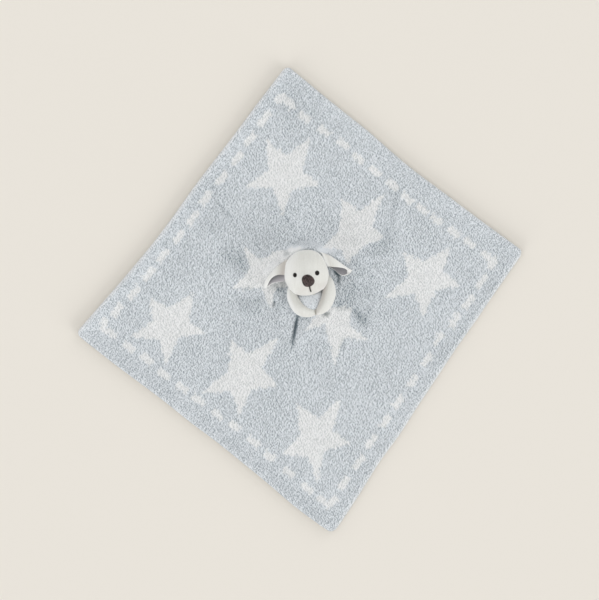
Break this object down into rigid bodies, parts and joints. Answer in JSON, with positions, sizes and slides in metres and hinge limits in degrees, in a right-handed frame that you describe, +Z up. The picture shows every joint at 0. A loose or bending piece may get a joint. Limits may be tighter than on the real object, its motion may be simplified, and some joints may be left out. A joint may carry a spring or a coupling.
{
  "type": "comfort blanket lovey",
  "caption": "Square knitted comfort blanket with a small stuffed puppy sewn to its middle by the neck: hinged head, floppy lined ears and joined arms.",
  "frame": {"origin": "middle of the blanket's bounding box, on the surface that it lies on", "axes": "+Z up from that surface, +Y from the puppy's chin towards its crown, +X towards its right ear as one looks at it"},
  "size_m": [0.5496, 0.5728, 0.0501],
  "materials": {
    "chenille": "pale blue-grey chenille knit, matt, with off-white stars and dashes knitted in",
    "velour": "cream short-pile polyester velour, matt",
    "ear_lining": "grey short-pile polyester velour, matt",
    "filling": "white polyester fibre filling",
    "eye_thread": "black rayon embroidery thread, satin stitch",
    "nose_thread": "dark brown rayon embroidery thread, satin stitch",
    "sewing_thread": "cream polyester sewing thread"
  },
  "bodies": {
    "blanket": {"blanket": "chenille", "neck_stitches": "sewing_thread"},
    "head": {"head_face": "velour", "head_back": "velour", "head_stuffing": "filling", "left_eye": "eye_thread", "right_eye": "eye_thread", "nose": "nose_thread", "mouth_stitch": "eye_thread"},
    "left_ear": {"left_ear_outer": "velour", "left_ear_lining": "ear_lining"},
    "right_ear": {"right_ear_outer": "velour", "right_ear_lining": "ear_lining"},
    "arms": {"left_arm_cover": "velour", "left_arm_stuffing": "filling", "right_arm_cover": "velour", "right_arm_stuffing": "filling", "paw_stitch": "sewing_thread"}
  },
  "joints": [
    {"name": "head_nod", "type": "hinge", "parent": "blanket", "child": "head", "pos_m": [0.0109, 0.0069, 0.01337], "axis": [0.9956, 0.0941, 0], "range_deg": [0, 30]},
    {"name": "left_ear_lift", "type": "hinge", "parent": "head", "child": "left_ear", "pos_m": [-0.02267, 0.04282, 0.02265], "axis": [0.2269, 0.9739, 0], "range_deg": [0, 90]},
    {"name": "right_ear_lift", "type": "hinge", "parent": "head", "child": "right_ear", "pos_m": [0.03561, 0.05165, 0.02265], "axis": [0.4969, -0.8678, 0], "range_deg": [0, 90]},
    {"name": "arms_lift", "type": "hinge", "parent": "blanket", "child": "arms", "pos_m": [0.01165, 0.01515, 0.00955], "axis": [-0.9889, -0.1483, 0], "range_deg": [0, 20]}
  ]
}
